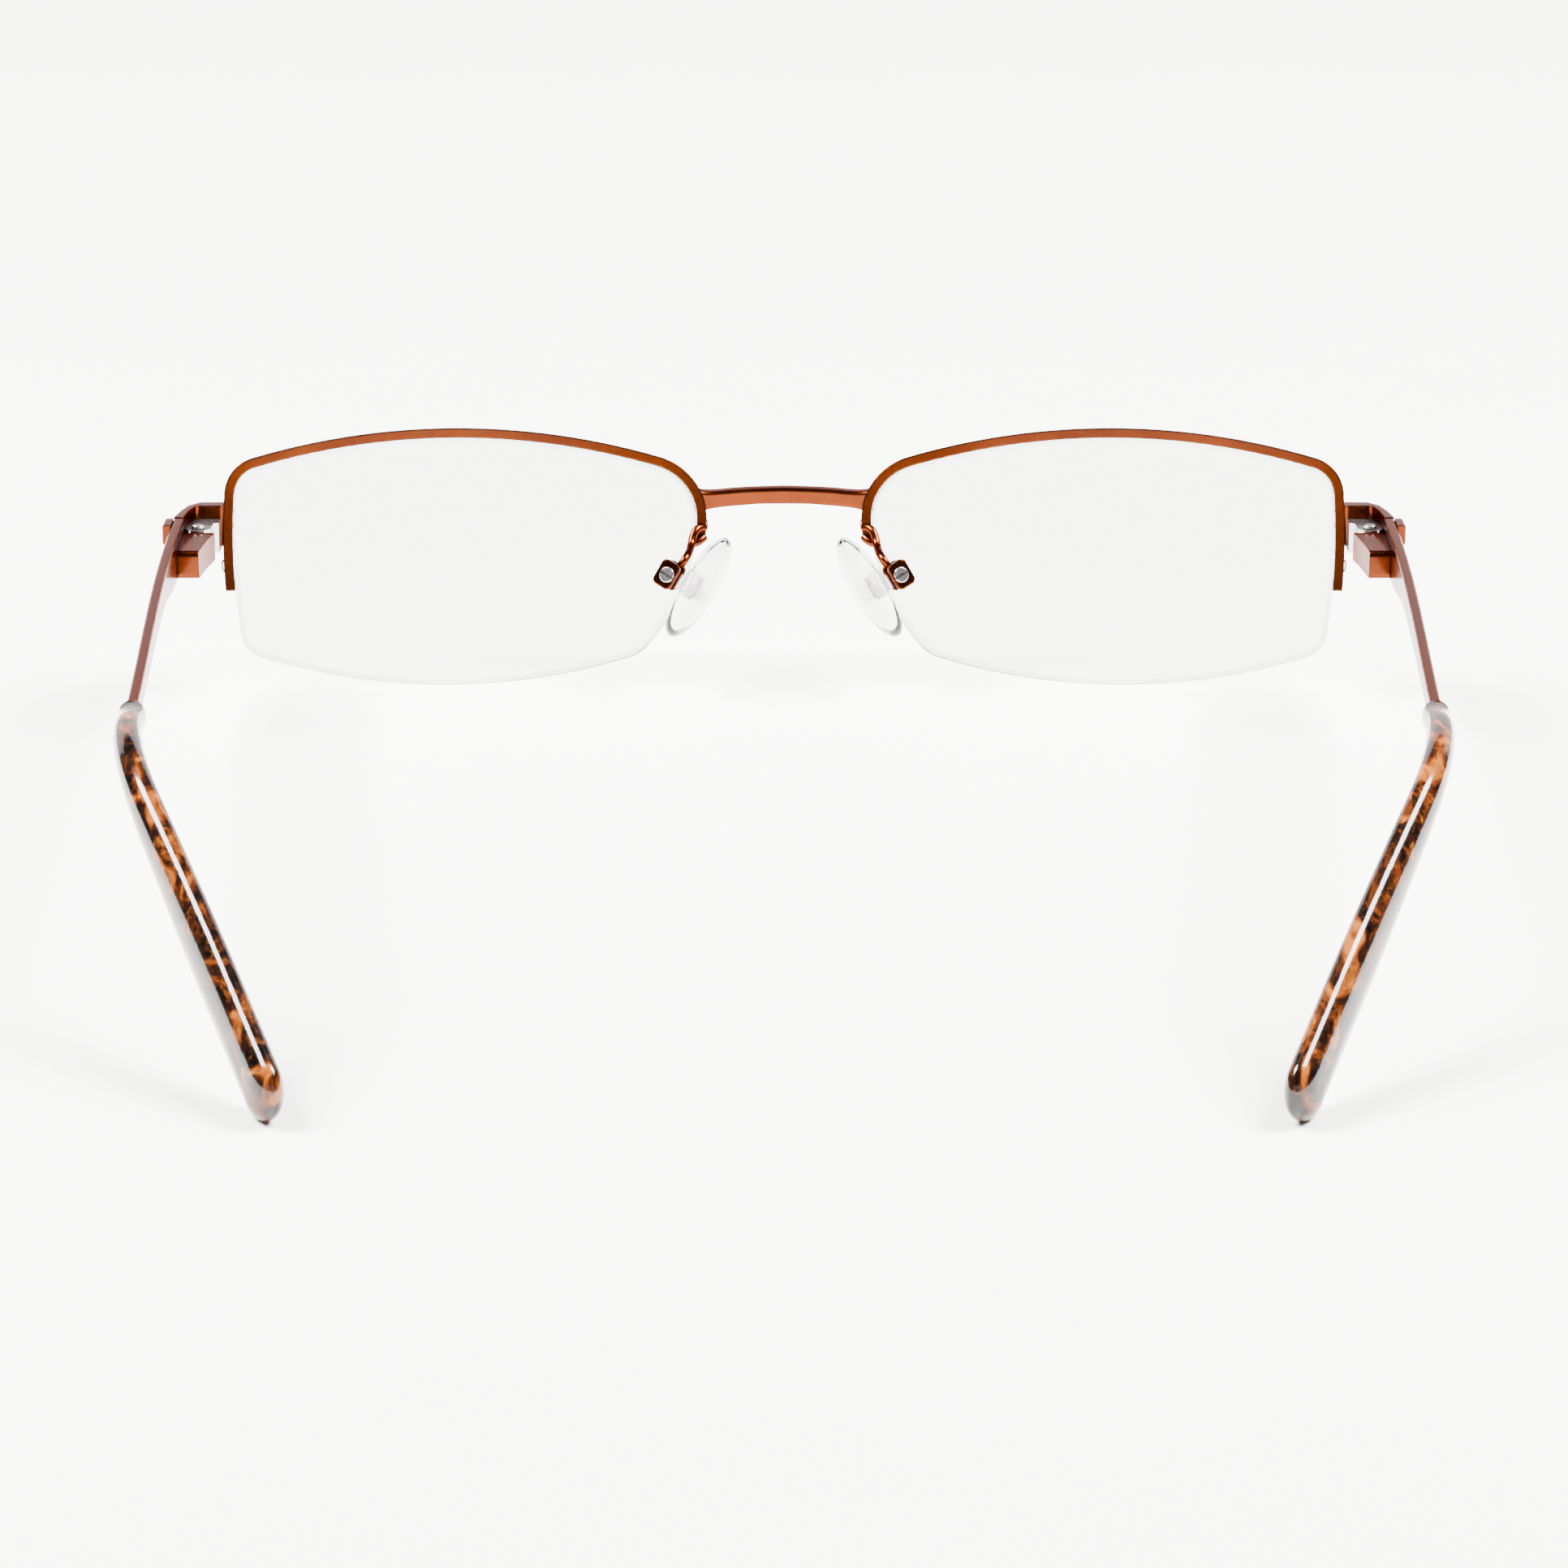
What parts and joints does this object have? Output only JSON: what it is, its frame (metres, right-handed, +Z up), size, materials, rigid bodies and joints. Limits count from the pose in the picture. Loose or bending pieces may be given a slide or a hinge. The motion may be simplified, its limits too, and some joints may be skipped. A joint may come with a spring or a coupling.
{
  "type": "half rim eyeglasses",
  "caption": "Half rim eyeglasses with metal brow rims, clear lenses held by nylon cord, clear nose pads and sprung folding temples.",
  "frame": {"origin": "on the table under the middle of the outline, with the glasses standing open on the lens bottoms and the temple tips", "axes": "+Z up; the front faces -Y and the temples run back along +Y; the wearer's left is +X"},
  "size_m": [0.1338, 0.1464, 0.0281],
  "materials": {
    "brown_lacquer": "glossy brown metallic lacquer",
    "lens_clear": "clear polished plastic",
    "nylon_clear": "clear nylon",
    "pad_clear": "clear polished plastic",
    "pad_core": "clear stiff plastic",
    "tip_tortoise": "polished tortoise pattern",
    "steel_bright": "bright machined steel",
    "spring_steel": "plain spring wire"
  },
  "bodies": {
    "front": {"bridge": "brown_lacquer", "rim_left": "brown_lacquer", "rim_liner_left": "nylon_clear", "lens_left": "lens_clear", "nylon_cord_left": "nylon_clear", "endpiece_left": "brown_lacquer", "front_hinge_left": "steel_bright", "pad_arm_left": "brown_lacquer", "pad_box_left": "brown_lacquer", "pad_screw_left": "steel_bright", "rim_right": "brown_lacquer", "rim_liner_right": "nylon_clear", "lens_right": "lens_clear", "nylon_cord_right": "nylon_clear", "endpiece_right": "brown_lacquer", "front_hinge_right": "steel_bright", "pad_arm_right": "brown_lacquer", "pad_box_right": "brown_lacquer", "pad_screw_right": "steel_bright", "hinge_screw_left": "steel_bright", "hinge_screw_right": "steel_bright"},
    "slide_bar_left": {"slider_left": "steel_bright", "spring_retainer_left": "steel_bright", "hinge_spring_left": "spring_steel"},
    "temple_arm_left": {"temple_left": "brown_lacquer", "temple_plaque_left": "brown_lacquer", "temple_tip_left": "tip_tortoise", "spring_housing_left": "brown_lacquer"},
    "pad_left": {"nose_pad_left": "pad_clear", "pad_insert_left": "pad_core"},
    "slide_bar_right": {"slider_right": "steel_bright", "spring_retainer_right": "steel_bright", "hinge_spring_right": "spring_steel"},
    "temple_arm_right": {"temple_right": "brown_lacquer", "temple_plaque_right": "brown_lacquer", "temple_tip_right": "tip_tortoise", "spring_housing_right": "brown_lacquer"},
    "pad_right": {"nose_pad_right": "pad_clear", "pad_insert_right": "pad_core"}
  },
  "joints": [
    {"name": "fold_left", "type": "hinge", "parent": "front", "child": "slide_bar_left", "pos_m": [0.0635, -0.05862, 0.019], "axis": [0, -0.0495, 0.9988], "range_deg": [-8, 83]},
    {"name": "spring_slide_left", "type": "slide", "parent": "slide_bar_left", "child": "temple_arm_left", "axis": [0, 0.9988, 0.0495], "range_m": [0, 0.0005], "stiffness_N_per_m": 1000},
    {"name": "pad_rock_left", "type": "hinge", "parent": "front", "child": "pad_left", "pos_m": [0.0124, -0.06292, 0.0134], "axis": [-0.3483, -0.8862, -0.3055], "range_deg": [-7, 7]},
    {"name": "fold_right", "type": "hinge", "parent": "front", "child": "slide_bar_right", "pos_m": [-0.0635, -0.05862, 0.019], "axis": [0, 0.0495, -0.9988], "range_deg": [-8, 70]},
    {"name": "spring_slide_right", "type": "slide", "parent": "slide_bar_right", "child": "temple_arm_right", "axis": [0, 0.9988, 0.0495], "range_m": [0, 0.0005], "stiffness_N_per_m": 1000},
    {"name": "pad_rock_right", "type": "hinge", "parent": "front", "child": "pad_right", "pos_m": [-0.0124, -0.06292, 0.0134], "axis": [-0.3483, 0.8862, 0.3055], "range_deg": [-7, 7]}
  ]
}
